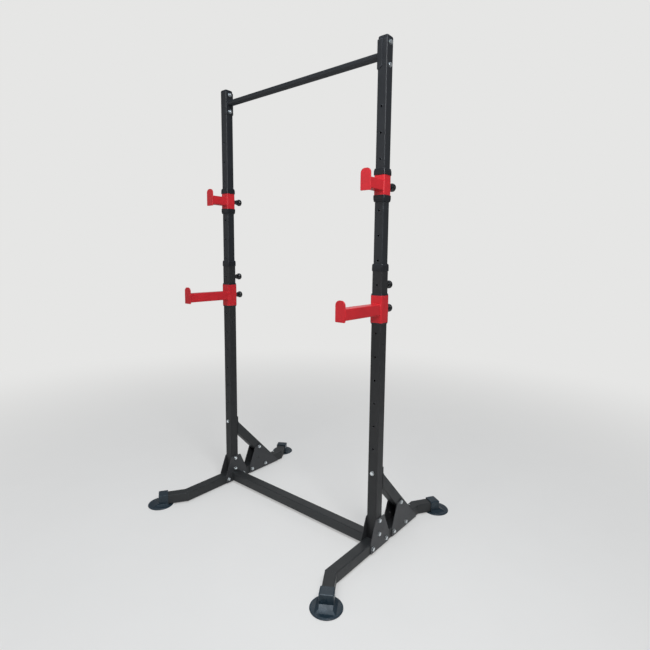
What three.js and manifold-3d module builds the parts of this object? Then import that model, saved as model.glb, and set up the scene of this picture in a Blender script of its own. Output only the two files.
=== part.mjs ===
// Height-adjustable squat stand with a pull-up bar, two J-cups and two spotter arms.
// Millimetres, +Z up, floor at z = 0. +X runs along the pull-up bar, -Y faces the lifter.
// Each stand is modelled about its own upright's centreline, with +x towards its outer side,
// and the left stand is the right one mirrored.
import * as THREE from 'three';
import { mergeVertices } from 'three/addons/utils/BufferGeometryUtils.js';
import Module from 'manifold-3d';

const wasm = await Module();
wasm.setup();

// Layout
const standSpacing = 1020;
const gap = 0.3;
const runGap = 0.3;
const overrun = 2;

// Lower upright: the square tube that stands on the leg
const lowerTube = 50;
const lowerWall = 2;
const lowerCorner = 4;
const lowerTop = 1300;

// Upper upright: the square tube that slides in the lower one
const upperTube = 45;
const upperWall = 2;
const upperCorner = 3.5;
const upperBelowLock = 247;
const upperAboveLock = 994;

// Adjustment holes, counted from the height lock's own hole
const holePitch = 105;
const pinDiameter = 10;
const lockBelowTop = 78;
const holesBelowLock = 7;
const holesAboveLock = 7;
const upperHolesBelowLock = 2;
const jCupHole = 4;
const spotterHole = -1;
const sideHoleBelowLock = 257;
const sideHoleDiameter = 8;

// Base leg: one mitred tube with both ends splayed outwards
const legTube = 50;
const legWall = 2.5;
const legCorner = 4;
const legFrontBend = 318;
const legRearBend = 386;
const splayAngle = 32 * Math.PI / 180;
const legFrontReach = 135;
const legRearReach = 127;

// Feet: a round pad with a square boot over the end of the leg and a ramp in front of the boot
const footRadius = 66;
const footThickness = 6;
const footEdge = 2.5;
const bootWall = 1.9;
const bootLength = 48;
const bootAhead = 4;
const bootCorner = 5;
const bootShoulder = 4;
const bootEndWall = 4;
const skirtHeight = 17;
const skirtFlare = 11;
const rampLength = 33;

// Bolts
const boltDiameter = 10;
const boltHeadAcross = 16;
const boltHeadHeight = 7;
const boltNutHeight = 8;
const boltProud = 3;

// Gusset plates that join the upright to the leg
const gussetThickness = 3;
const gussetFront = 66;
const gussetRear = 85;
const gussetTopFront = 27;
const gussetTopRear = 40;
const gussetTop = 158;
const gussetStep = 3;
const gussetDrop = 48;
const plateCorner = 5;
const gussetUpperBolt = 145;
const gussetMiddleBolt = 80;
const gussetFrontBolt = 50;
const gussetRearBolt = 60;

// Bracket plates that join the brace to the leg
const bracketThickness = 3;
const bracketFront = 113;
const bracketFrontRise = 50;
const bracketPeakFront = 160;
const bracketPeakFrontLift = 6;
const bracketPeakRear = 205;
const bracketPeakRearLift = 12;
const bracketRear = 367;
const bracketFrontBolt = 132;
const bracketRearBolt = 243;
const bracketBraceBolt = 190;
const bracketEyelet = 7;
const bracketEyeletReach = 182;
const bracketEyeletRise = 86;

// Rear brace: a sloped tube between the upright and the leg
const braceTube = 50;
const braceWall = 2.5;
const braceCorner = 4;
const braceSlope = 46.5 * Math.PI / 180;
const braceStartHeight = 330;
const bracePlateThickness = 4;
const bracePlateBelow = 45;
const bracePlateAbove = 62;
const braceBoltClear = 1;

// Crossbar between the two stands
const crossbarTube = 50;
const crossbarWall = 2.5;
const crossbarCorner = 4;
const crossbarHeight = 40;

// Pull-up bar and its channel brackets
const barDiameter = 32;
const barWall = 2.5;
const barBelowTop = 55;
const channelWall = 3;
const channelReach = 22;
const channelHalf = 56;
const channelChamfer = 12;
const channelBoltRise = 44;
const channelBoltDrop = 43;

// Domed plug in the top of each upper upright
const capRise = 16;
const capPlugDepth = 22;
const capPlugWall = 2;
const capRiseShares = [0, 0.5, 0.85, 1];
const capWidthShares = [1, 1, 0.92, 0.7];

// Bushing on the mouth of the lower upright
const bushingWall = 2.4;
const bushingHeight = 31;
const bushingOverTube = 18;
const bushingRiseShares = [0, 0.45, 0.86, 0.9, 1];
const bushingWidthShares = [0.98, 1, 0.985, 0.955, 0.925];

// Pull pins: a threaded housing welded on, and a sprung plunger with a round knob
const housingDiameter = 22;
const housingLength = 26;
const housingChamfer = 2;
const knobDiameter = 36;
const knobLength = 27;
const knobRiseShares = [0, 0.3, 0.55, 0.85, 1];
const knobRadiusShares = [0.74, 0.78, 1, 1, 0.78];

// J-cup
const jSleeveRoom = 1;
const jSleeveWall = 2.5;
const jSleeveCorner = 5;
const jSleeveAbove = 41;
const jSleeveBelow = 41.5;
const jArmTube = 45;
const jArmWall = 2.5;
const jArmCorner = 4;
const jArmDrop = 2;
const jArmReach = 125;
const jPlateWidth = 50;
const jPlateThickness = 5;
const jPlateBelow = 33;
const jPlateHeight = 88;
const jPlateCorner = 17;
const jHousingLength = 32;

// Plastic collars on the ends of the J-cup's sleeve
const collarWidth = 57;
const collarHeight = 27;
const collarLap = 8;
const collarCorner = 6;
const collarRiseShares = [0, 0.6, 1];
const collarWidthShares = [1, 0.99, 0.9];

// Spotter arm
const spotterSleeveRoom = 0.4;
const spotterSleeveWall = 3.6;
const spotterSleeveCorner = 6;
const spotterSleeveAbove = 60.5;
const spotterSleeveBelow = 58;
const spotterArmTube = 47;
const spotterArmWall = 3;
const spotterArmCorner = 4;
const spotterArmDrop = 0;
const spotterArmReach = 280;
const spotterPlateWidth = 48;
const spotterPlateThickness = 5;
const spotterPlateBelow = 31;
const spotterPlateHeight = 87;
const spotterPlateCorner = 20;
const endPlateFootCorner = 4;

// Facet counts
const cornerSteps = 2;
const plateSteps = 3;
const holeSides = 8;
const roundSides = 12;
const barSides = 16;
const padSides = 20;

// Finishes
const powderCoat = new THREE.MeshStandardMaterial({ color: 0x3a3b3d, roughness: 0.55, metalness: 0.2 });
const innerCoat = new THREE.MeshStandardMaterial({ color: 0x2f3438, roughness: 0.5, metalness: 0.2 });
const redCoat = new THREE.MeshStandardMaterial({ color: 0xa82c30, roughness: 0.45, metalness: 0.1 });
const blackPlastic = new THREE.MeshStandardMaterial({ color: 0x1c2129, roughness: 0.4, metalness: 0 });
const zinc = new THREE.MeshStandardMaterial({ color: 0xb8bbc0, roughness: 0.3, metalness: 0.9 });

// Solids and booleans

function toSolid(geometry) {
  const bare = geometry.clone();
  bare.deleteAttribute('normal');
  bare.deleteAttribute('uv');
  const merged = mergeVertices(bare);
  return new wasm.Manifold(new wasm.Mesh({
    numProp: 3,
    vertProperties: new Float32Array(merged.attributes.position.array),
    triVerts: new Uint32Array(merged.index.array),
  }));
}

function toGeometry(solid) {
  const mesh = solid.getMesh();
  const geometry = new THREE.BufferGeometry();
  geometry.setAttribute('position', new THREE.BufferAttribute(new Float32Array(mesh.vertProperties), 3));
  geometry.setIndex(new THREE.BufferAttribute(new Uint32Array(mesh.triVerts), 1));
  const facets = geometry.toNonIndexed();
  facets.computeVertexNormals();
  return facets;
}

function join(first, ...others) {
  return others.reduce((solid, other) => solid.add(other), first);
}

function cut(solid, ...cutters) {
  return cutters.reduce((rest, cutter) => rest.subtract(cutter), solid);
}

// A mirror image in x, with its triangles turned round so that they still face outwards
function mirrored(geometry) {
  const flipped = geometry.clone().scale(-1, 1, 1);
  const position = flipped.attributes.position;
  const corner = new THREE.Vector3();
  const other = new THREE.Vector3();
  for (let index = 0; index < position.count; index += 3) {
    corner.fromBufferAttribute(position, index);
    other.fromBufferAttribute(position, index + 1);
    position.setXYZ(index, other.x, other.y, other.z);
    position.setXYZ(index + 1, corner.x, corner.y, corner.z);
  }
  flipped.computeVertexNormals();
  return flipped;
}

// Outlines and swept forms

function roundedRectangle(width, depth, radius, steps = cornerSteps) {
  const points = [];
  for (let corner = 0; corner < 4; corner += 1) {
    const turn = corner * Math.PI / 2;
    const acrossSign = Math.round(Math.cos(turn) - Math.sin(turn));
    const alongSign = Math.round(Math.cos(turn) + Math.sin(turn));
    for (let step = 0; step <= steps; step += 1) {
      const angle = turn + (Math.PI / 2) * step / steps;
      points.push(new THREE.Vector2(
        acrossSign * (width / 2 - radius) + radius * Math.cos(angle),
        alongSign * (depth / 2 - radius) + radius * Math.sin(angle),
      ));
    }
  }
  return points;
}

// An outline with each corner rounded by its own arc, which touches both of its sides
function roundedOutline(corners, radii, steps = cornerSteps) {
  const points = [];
  corners.forEach((corner, index) => {
    const radius = radii[index];
    const before = corners[(index + corners.length - 1) % corners.length];
    const after = corners[(index + 1) % corners.length];
    const toBefore = before.clone().sub(corner).normalize();
    const toAfter = after.clone().sub(corner).normalize();
    const half = Math.acos(THREE.MathUtils.clamp(toBefore.dot(toAfter), -1, 1)) / 2;
    const bisector = toBefore.clone().add(toAfter).normalize();
    const centre = corner.clone().addScaledVector(bisector, radius / Math.sin(half));
    const start = corner.clone().addScaledVector(toBefore, radius / Math.tan(half)).sub(centre);
    const sweep = Math.PI - 2 * half;
    const turn = Math.sign(start.cross(toAfter)) || 1;
    for (let step = 0; step <= steps; step += 1) {
      const arm = start.clone().rotateAround(new THREE.Vector2(), turn * sweep * step / steps);
      points.push(centre.clone().add(arm));
    }
  });
  return points;
}

function extrude(points, depth) {
  return new THREE.ExtrudeGeometry(new THREE.Shape(points), { depth, bevelEnabled: false });
}

// A flat plate cut from an outline in (y, z), from x = start to x = start + thickness
function platePlan(points, start, thickness) {
  const geometry = extrude(points, thickness);
  geometry.rotateX(Math.PI / 2);
  geometry.rotateZ(Math.PI / 2);
  geometry.translate(start, 0, 0);
  return toSolid(geometry);
}

function box(width, depth, height, x, y, z) {
  const geometry = new THREE.BoxGeometry(width, depth, height);
  geometry.translate(x, y, z);
  return toSolid(geometry);
}

// A square tube along +z from z = 0, open at both ends
function squareTube(width, corner, wall, length) {
  const shape = new THREE.Shape(roundedRectangle(width, width, corner));
  const bore = width - 2 * wall;
  shape.holes.push(new THREE.Path(roundedRectangle(bore, bore, corner - wall).reverse()));
  return new THREE.ExtrudeGeometry(shape, { depth: length, bevelEnabled: false });
}

function rod(axis, diameter, start, end, first, second, sides) {
  const geometry = new THREE.CylinderGeometry(diameter / 2, diameter / 2, end - start, sides);
  const middle = (start + end) / 2;
  if (axis === 'x') {
    geometry.rotateZ(Math.PI / 2);
    geometry.translate(middle, first, second);
  } else if (axis === 'y') {
    geometry.translate(first, middle, second);
  } else {
    geometry.rotateX(Math.PI / 2);
    geometry.translate(first, second, middle);
  }
  return toSolid(geometry);
}

// A closed solid through rings of equal count; each ring runs anticlockwise seen from the last one
function loft(rings) {
  const count = rings[0].length;
  const positions = rings.flat().flatMap((point) => [point.x, point.y, point.z]);
  const faces = [];
  for (let ring = 0; ring + 1 < rings.length; ring += 1) {
    for (let index = 0; index < count; index += 1) {
      const next = (index + 1) % count;
      const low = ring * count;
      const high = low + count;
      faces.push(low + index, low + next, high + next, low + index, high + next, high + index);
    }
  }
  const last = (rings.length - 1) * count;
  for (let index = 1; index + 1 < count; index += 1) {
    faces.push(0, index + 1, index, last, last + index, last + index + 1);
  }
  const geometry = new THREE.BufferGeometry();
  geometry.setAttribute('position', new THREE.Float32BufferAttribute(positions, 3));
  geometry.setIndex(faces);
  return toSolid(geometry);
}

function flatRing(width, depth, corner, height, shiftY = 0) {
  return roundedRectangle(width, depth, corner)
    .map((point) => new THREE.Vector3(point.x, point.y + shiftY, height));
}

// A square shell whose width follows a table of shares up its height
function shapedBlock(width, corner, bottom, height, riseShares, widthShares) {
  return loft(riseShares.map((rise, index) => {
    const ringWidth = width * widthShares[index];
    return flatRing(ringWidth, ringWidth, corner, bottom + height * rise);
  }));
}

// Bolts: a hex head, the shank and the nut on the far side

function hexAlongX(across, start, end) {
  const geometry = new THREE.CylinderGeometry(
    across / Math.sqrt(3), across / Math.sqrt(3), end - start, 6,
  );
  geometry.rotateZ(Math.PI / 2);
  geometry.translate((start + end) / 2, 0, 0);
  return toSolid(geometry);
}

// The head bears at x = headSide, the nut at x = nutSide
function boltGeometry(headSide, nutSide) {
  const headSeat = headSide + gap;
  const nutSeat = nutSide - gap;
  const nutBottom = nutSeat - boltNutHeight;
  return toGeometry(join(
    hexAlongX(boltHeadAcross, headSeat, headSeat + boltHeadHeight),
    rod('x', boltDiameter, nutBottom - boltProud, headSeat + boltHeadHeight / 2, 0, 0, holeSides),
    hexAlongX(boltHeadAcross, nutBottom, nutSeat),
  ));
}

// Heights on the telescopic uprights all follow the top of the lower one
const lockHeight = lowerTop - lockBelowTop;
const upperBottom = lockHeight - upperBelowLock;
const upperTop = lockHeight + upperAboveLock;
const barHeight = upperTop - barBelowTop;
const channelBottom = barHeight - channelHalf;
const channelTop = barHeight + channelHalf;
const channelUpperBolt = barHeight + channelBoltRise;
const channelLowerBolt = barHeight - channelBoltDrop;
const sideHoleHeight = lockHeight - sideHoleBelowLock;

// The two sleeves, by what they ride on
const jSleeve = upperTube + 2 * (jSleeveRoom + jSleeveWall);
const spotterSleeve = lowerTube + 2 * (spotterSleeveRoom + spotterSleeveWall);

const boltHole = boltDiameter + 2 * gap;
const pinHole = pinDiameter + 2 * runGap;

// The brace's own bolt sits just above the brace, with room for its nut
const braceFall = Math.tan(braceSlope);
const braceBackFace = lowerTube / 2 + gap + bracePlateThickness;
const braceCrest = braceStartHeight + braceTube / 2 / Math.cos(braceSlope)
  - braceFall * (braceBackFace - lowerTube / 2);
const braceBoltHeight = braceCrest + boltHeadAcross / Math.sqrt(3) + braceBoltClear;

// Lower upright

const legBottom = footThickness + gap;
const legTop = legBottom + legTube;
const lowerBottom = legTop + gap;

// The housing is rooted halfway into its wall and stands its length proud of the face
function pinHousing(face, wall, length) {
  const profile = [
    new THREE.Vector2(0, -wall / 2),
    new THREE.Vector2(housingDiameter / 2, -wall / 2),
    new THREE.Vector2(housingDiameter / 2, length - housingChamfer),
    new THREE.Vector2(housingDiameter / 2 - housingChamfer, length),
    new THREE.Vector2(0, length),
  ];
  const geometry = new THREE.LatheGeometry(profile, roundSides);
  geometry.translate(0, face, 0);
  return toSolid(geometry);
}

// One pull pin's bore, from depth out through every wall and the housing
function pinBore(face, length, depth) {
  return rod('y', pinHole, depth, face + length + overrun, 0, 0, holeSides);
}

function lowerUpright() {
  const tube = squareTube(lowerTube, lowerCorner, lowerWall, lowerTop - lowerBottom);
  tube.translate(0, 0, lowerBottom);
  const half = lowerTube / 2;
  const housing = cut(pinHousing(half, lowerWall, housingLength), pinBore(half, housingLength, 0));
  let solid = join(toSolid(tube), housing.translate([0, 0, lockHeight]));
  for (let hole = 0; hole <= holesBelowLock; hole += 1) {
    const height = lockHeight - hole * holePitch;
    const rear = hole === 0 ? half + housingLength : half;
    solid = cut(solid, rod('y', pinHole, -half - overrun, rear + overrun, 0, height, holeSides));
  }
  const reach = half + overrun;
  return cut(
    solid,
    rod('x', sideHoleDiameter, -reach, reach, 0, sideHoleHeight, holeSides),
    rod('x', boltHole, -reach, reach, 0, gussetUpperBolt, holeSides),
    rod('x', boltHole, -reach, reach, 0, gussetMiddleBolt, holeSides),
    rod('y', boltHole, -reach, reach, 0, braceBoltHeight, holeSides),
  );
}

// Upper upright

function upperUpright() {
  const tube = squareTube(upperTube, upperCorner, upperWall, upperTop - upperBottom);
  tube.translate(0, 0, upperBottom);
  const reach = upperTube / 2 + overrun;
  let solid = toSolid(tube);
  for (let hole = -upperHolesBelowLock; hole <= holesAboveLock; hole += 1) {
    const height = lockHeight + hole * holePitch;
    solid = cut(solid, rod('y', pinHole, -reach, reach, 0, height, holeSides));
  }
  return cut(
    solid,
    rod('x', boltHole, -reach, reach, 0, channelUpperBolt, holeSides),
    rod('x', boltHole, -reach, reach, 0, channelLowerBolt, holeSides),
  );
}

function topCap() {
  const seat = upperTop + gap;
  const plug = upperTube - 2 * upperWall - 2 * gap;
  const plugCorner = upperCorner - upperWall;
  const skirt = squareTube(plug, plugCorner + capPlugWall, capPlugWall, capPlugDepth + overrun);
  skirt.translate(0, 0, seat - capPlugDepth);
  const notchTop = channelUpperBolt + boltHole / 2;
  const notchHeight = notchTop - (seat - capPlugDepth) + overrun;
  return join(
    shapedBlock(upperTube, upperCorner, seat, capRise, capRiseShares, capWidthShares),
    cut(toSolid(skirt), box(upperTube, boltHole, notchHeight, 0, 0, notchTop - notchHeight / 2)),
  );
}

// Bushing: it caps the lower tube's mouth and guides the upper tube

const bushingWidth = lowerTube + 2 * (gap + bushingWall);

function uprightBushing() {
  const bottom = lowerTop + gap - bushingOverTube;
  const top = bottom + bushingHeight;
  const body = shapedBlock(
    bushingWidth, lowerCorner + bushingWall, bottom, bushingHeight, bushingRiseShares, bushingWidthShares,
  );
  const overTube = lowerTube + 2 * gap;
  const mouth = upperTube + 2 * runGap;
  return cut(
    body,
    toSolid(extrude(roundedRectangle(overTube, overTube, lowerCorner), bushingOverTube + overrun)
      .translate(0, 0, bottom - overrun)),
    toSolid(extrude(roundedRectangle(mouth, mouth, upperCorner), top - lowerTop + 2 * overrun)
      .translate(0, 0, lowerTop - overrun)),
  );
}

// Pull knob: the plunger's nose ends flush with the wall that it comes through

function pullKnob(face, wall, length) {
  const seat = face + length + gap;
  const profile = [new THREE.Vector2(0, 0)];
  knobRiseShares.forEach((rise, index) => {
    profile.push(new THREE.Vector2(knobDiameter / 2 * knobRadiusShares[index], knobLength * rise));
  });
  profile.push(new THREE.Vector2(0, knobLength));
  const head = new THREE.LatheGeometry(profile, roundSides);
  head.translate(0, seat, 0);
  return join(
    toSolid(head),
    rod('y', pinDiameter, face - wall, seat + knobLength / 2, 0, 0, holeSides),
  );
}

// Base leg

function legRing(station, forward, stretch, width, corner) {
  const up = new THREE.Vector3(0, 0, 1);
  const across = up.clone().cross(forward).normalize();
  return roundedRectangle(width, width, corner).map((point) => station.clone()
    .addScaledVector(across, point.x * stretch)
    .addScaledVector(up, point.y));
}

const middleLine = legBottom + legTube / 2;
const outFront = new THREE.Vector3(Math.sin(splayAngle), -Math.cos(splayAngle), 0);
const outRear = new THREE.Vector3(Math.sin(splayAngle), Math.cos(splayAngle), 0);
const frontBend = new THREE.Vector3(0, -legFrontBend, middleLine);
const rearBend = new THREE.Vector3(0, legRearBend, middleLine);

function legLoft(width, corner, extra) {
  const along = new THREE.Vector3(0, 1, 0);
  const intoFront = outFront.clone().negate();
  const stretch = 1 / Math.cos(splayAngle / 2);
  const frontEnd = frontBend.clone().addScaledVector(outFront, legFrontReach + extra);
  const rearEnd = rearBend.clone().addScaledVector(outRear, legRearReach + extra);
  return loft([
    legRing(frontEnd, intoFront, 1, width, corner),
    legRing(frontBend, intoFront.clone().add(along), stretch, width, corner),
    legRing(rearBend, outRear.clone().add(along), stretch, width, corner),
    legRing(rearEnd, outRear, 1, width, corner),
  ]);
}

function baseLeg() {
  const tube = cut(
    legLoft(legTube, legCorner, 0),
    legLoft(legTube - 2 * legWall, legCorner - legWall, overrun),
  );
  const reach = legTube / 2 + overrun;
  const bolts = [-gussetFrontBolt, gussetRearBolt, bracketFrontBolt, bracketRearBolt];
  const holes = bolts.map((y) => rod('x', boltHole, -reach, reach, y, legBoltHeight, holeSides));
  return cut(tube, ...holes);
}

const legBoltHeight = middleLine;

// Foot: modelled with +y along the leg's end, outwards, and z = 0 on the floor

const bootWidth = legTube + 2 * (gap + bootWall);
const bootTop = legTop + gap + bootWall;

function foot() {
  const pad = new THREE.LatheGeometry([
    new THREE.Vector2(0, 0),
    new THREE.Vector2(footRadius, 0),
    new THREE.Vector2(footRadius, footThickness - footEdge),
    new THREE.Vector2(footRadius - footEdge, footThickness),
    new THREE.Vector2(0, footThickness),
  ], padSides);
  pad.rotateX(Math.PI / 2);
  const depth = 2 * bootLength;
  const middle = bootAhead - bootLength;
  const boot = loft([
    flatRing(bootWidth, depth, bootCorner, footThickness / 2, middle),
    flatRing(bootWidth, depth, bootCorner, bootTop - bootShoulder, middle),
    flatRing(bootWidth - bootShoulder, depth - bootShoulder, bootCorner, bootTop, middle),
  ]);
  const skirtWidth = bootWidth + 2 * skirtFlare;
  const skirtDepth = depth + rampLength;
  const skirtMiddle = middle + rampLength / 2;
  const skirt = loft([
    flatRing(skirtWidth, skirtDepth, bootCorner + skirtFlare, footThickness / 2, skirtMiddle),
    flatRing(skirtWidth, skirtDepth, bootCorner + skirtFlare, footThickness, skirtMiddle),
    flatRing(bootWidth, depth, bootCorner, footThickness + skirtHeight, middle),
  ]);
  const behind = 2 * footRadius;
  const front = cut(
    join(boot, skirt),
    box(behind, behind, 2 * bootTop, 0, middle - behind / 2, 0),
  );
  const pocket = legTube + 2 * gap;
  const tube = extrude(roundedRectangle(pocket, pocket, legCorner), bootLength - bootEndWall + overrun);
  tube.rotateX(-Math.PI / 2);
  tube.translate(0, middle - overrun, middleLine);
  return cut(join(toSolid(pad), front), toSolid(tube));
}

// Gusset and bracket plates, in (y, z)

const gussetBottom = legTop - gussetDrop;
const gussetShoulder = legTop + gussetStep;
const plateSeat = Math.max(lowerTube, legTube) / 2 + gap;

function gussetPlate(start) {
  const corners = [
    new THREE.Vector2(-gussetFront, gussetBottom),
    new THREE.Vector2(gussetRear, gussetBottom),
    new THREE.Vector2(gussetRear, gussetShoulder),
    new THREE.Vector2(gussetTopRear, gussetTop),
    new THREE.Vector2(-gussetTopFront, gussetTop),
    new THREE.Vector2(-gussetFront, gussetShoulder),
  ];
  const bolts = [
    [0, gussetUpperBolt],
    [0, gussetMiddleBolt],
    [-gussetFrontBolt, legBoltHeight],
    [gussetRearBolt, legBoltHeight],
  ];
  const reach = plateSeat + gussetThickness + overrun;
  const holes = bolts.map(([y, z]) => rod('x', boltHole, -reach, reach, y, z, holeSides));
  const outline = roundedOutline(corners, corners.map(() => plateCorner));
  return cut(platePlan(outline, start, gussetThickness), ...holes);
}

const braceBoltRise = braceStartHeight - braceFall * (bracketBraceBolt - lowerTube / 2);

// Only the inner plate of each pair has the eyelet
function bracketPlate(start, withEyelet) {
  const corners = [
    new THREE.Vector2(bracketFront, gussetBottom),
    new THREE.Vector2(bracketRear, gussetBottom),
    new THREE.Vector2(bracketPeakRear, braceBoltRise + bracketPeakRearLift),
    new THREE.Vector2(bracketPeakFront, braceBoltRise + bracketPeakFrontLift),
    new THREE.Vector2(bracketFront, bracketFrontRise),
  ];
  const bolts = [
    [bracketFrontBolt, legBoltHeight],
    [bracketRearBolt, legBoltHeight],
    [bracketBraceBolt, braceBoltRise],
  ];
  const reach = plateSeat + bracketThickness + overrun;
  const holes = bolts.map(([y, z]) => rod('x', boltHole, -reach, reach, y, z, holeSides));
  if (withEyelet) {
    holes.push(rod('x', bracketEyelet, -reach, reach, bracketEyeletReach, bracketEyeletRise, holeSides));
  }
  const outline = roundedOutline(corners, corners.map(() => plateCorner));
  return cut(platePlan(outline, start, bracketThickness), ...holes);
}

// Rear brace, cut upright against its end plate and level on top of the leg

function rearBrace() {
  const length = 2 * braceStartHeight / Math.sin(braceSlope);
  const tube = squareTube(braceTube, braceCorner, braceWall, length);
  tube.translate(0, 0, -length / 4);
  tube.rotateX(-Math.PI / 2 - braceSlope);
  const face = lowerTube / 2 + gap;
  tube.translate(0, lowerTube / 2, braceStartHeight);
  const keep = box(
    2 * braceTube, length, braceStartHeight + length,
    0, face + bracePlateThickness / 2 + length / 2, legTop + gap + (braceStartHeight + length) / 2,
  );
  const plateHeight = bracePlateBelow + bracePlateAbove;
  const plate = box(
    braceTube, bracePlateThickness, plateHeight,
    0, face + bracePlateThickness / 2, braceStartHeight - bracePlateBelow + plateHeight / 2,
  );
  const reach = braceTube / 2 + overrun;
  return cut(
    join(toSolid(tube).intersect(keep), plate),
    rod('y', boltHole, 0, face + bracePlateThickness + overrun, 0, braceBoltHeight, holeSides),
    rod('x', boltHole, -reach, reach, bracketBraceBolt, braceBoltRise, holeSides),
  );
}

// Crossbar between the inner gusset plates

function crossbar() {
  const length = standSpacing - 2 * (plateSeat + gussetThickness + gap);
  const tube = squareTube(crossbarTube, crossbarCorner, crossbarWall, length);
  tube.rotateY(Math.PI / 2);
  tube.translate(-length / 2, 0, crossbarHeight);
  return toSolid(tube);
}

// Pull-up bar: a round tube welded between two channels that grip the upper uprights

function channel() {
  const inner = upperTube / 2 + gap;
  const height = channelTop - channelBottom;
  const middle = channelBottom + height / 2;
  const web = box(channelWall, 2 * (inner + channelWall), height, -inner - channelWall / 2, 0, middle);
  const flangeEnd = channelReach - upperTube / 2;
  const flangeStart = -inner - channelWall / 2;
  const flangeDepth = flangeEnd - flangeStart;
  const centre = (flangeStart + flangeEnd) / 2;
  const chamfer = new THREE.Shape([
    new THREE.Vector2(flangeEnd - channelChamfer, channelBottom - overrun),
    new THREE.Vector2(flangeEnd + overrun, channelBottom - overrun),
    new THREE.Vector2(flangeEnd + overrun, channelBottom + channelChamfer),
  ]);
  const width = 2 * (inner + channelWall + overrun);
  const corner = new THREE.ExtrudeGeometry(chamfer, { depth: width, bevelEnabled: false });
  corner.rotateX(Math.PI / 2);
  corner.translate(0, width / 2, 0);
  const sides = [-1, 1].map((side) => cut(
    box(flangeDepth, channelWall, height, centre, side * (inner + channelWall / 2), middle),
    toSolid(corner),
  ));
  const reach = inner + channelWall + overrun;
  return cut(
    join(web, ...sides),
    rod('x', boltHole, -reach, 0, 0, channelUpperBolt, holeSides),
    rod('x', boltHole, -reach, 0, 0, channelLowerBolt, holeSides),
  );
}

function pullUpBar() {
  const half = standSpacing / 2;
  const webFace = half - upperTube / 2 - gap;
  const right = toSolid(toGeometry(channel()).translate(half, 0, 0));
  const left = toSolid(mirrored(toGeometry(channel()).translate(half, 0, 0)));
  return cut(
    join(right, left, rod('x', barDiameter, -webFace, webFace, 0, barHeight, barSides)),
    rod('x', barDiameter - 2 * barWall, -webFace - overrun, webFace + overrun, 0, barHeight, barSides),
  );
}

// Carriages: a sleeve with its pin housing, an arm and an end plate, about the pin's height

function carriage(sleeve, arm, plate, housing) {
  const half = sleeve.width / 2;
  const tube = squareTube(sleeve.width, sleeve.corner, sleeve.wall, sleeve.above + sleeve.below);
  tube.translate(0, 0, -sleeve.below);
  const bore = sleeve.width - 2 * sleeve.wall;
  const height = sleeve.above + sleeve.below;
  const opening = extrude(roundedRectangle(bore, bore, sleeve.corner - sleeve.wall), height);
  opening.translate(0, 0, -sleeve.below);
  const armStart = half - sleeve.wall / 2;
  const beam = squareTube(arm.width, arm.corner, arm.wall, arm.reach - plate.thickness / 2 - armStart);
  beam.rotateX(Math.PI / 2);
  beam.translate(0, -armStart, -arm.drop);
  const tip = extrude(plate.outline, plate.thickness);
  tip.rotateX(Math.PI / 2);
  tip.translate(0, plate.thickness - arm.reach, 0);
  return cut(
    join(
      toSolid(tube),
      cut(toSolid(beam), toSolid(opening)),
      toSolid(tip),
      pinHousing(half, sleeve.wall, housing),
    ),
    pinBore(half, housing, -half - arm.wall),
  );
}

// An end plate's outline: small corners at its foot, large ones at its top
function endPlate(width, below, height, corner) {
  const corners = [
    new THREE.Vector2(-width / 2, -below),
    new THREE.Vector2(width / 2, -below),
    new THREE.Vector2(width / 2, height - below),
    new THREE.Vector2(-width / 2, height - below),
  ];
  return roundedOutline(corners, [endPlateFootCorner, endPlateFootCorner, corner, corner], plateSteps);
}

function jCup() {
  return carriage(
    {
      width: jSleeve, wall: jSleeveWall, corner: jSleeveCorner,
      above: jSleeveAbove + collarLap, below: jSleeveBelow + collarLap,
    },
    { width: jArmTube, wall: jArmWall, corner: jArmCorner, drop: jArmDrop, reach: jArmReach },
    {
      thickness: jPlateThickness,
      outline: endPlate(jPlateWidth, jPlateBelow, jPlateHeight, jPlateCorner),
    },
    jHousingLength,
  );
}

function spotterArm() {
  return carriage(
    {
      width: spotterSleeve, wall: spotterSleeveWall, corner: spotterSleeveCorner,
      above: spotterSleeveAbove, below: spotterSleeveBelow,
    },
    {
      width: spotterArmTube, wall: spotterArmWall, corner: spotterArmCorner,
      drop: spotterArmDrop, reach: spotterArmReach,
    },
    {
      thickness: spotterPlateThickness,
      outline: endPlate(spotterPlateWidth, spotterPlateBelow, spotterPlateHeight, spotterPlateCorner),
    },
    housingLength,
  );
}

// Collar: it laps the sleeve's end and guides the upper tube; built upwards from the lap

function collar() {
  const body = shapedBlock(
    collarWidth, collarCorner, 0, collarHeight, collarRiseShares, collarWidthShares,
  );
  const lapWidth = jSleeve + 2 * gap;
  const mouth = upperTube + 2 * runGap;
  return cut(
    body,
    toSolid(extrude(roundedRectangle(lapWidth, lapWidth, jSleeveCorner), collarLap + gap + overrun)
      .translate(0, 0, -overrun)),
    toSolid(extrude(roundedRectangle(mouth, mouth, upperCorner), collarHeight + 2 * overrun)
      .translate(0, 0, -overrun)),
  );
}

// Assembly

const squatStand = new THREE.Group();

function addPiece(parent, name, geometry, material, x = 0, y = 0, z = 0) {
  const mesh = new THREE.Mesh(geometry, material);
  mesh.name = name;
  mesh.position.set(x, y, z);
  parent.add(mesh);
  return mesh;
}

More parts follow.
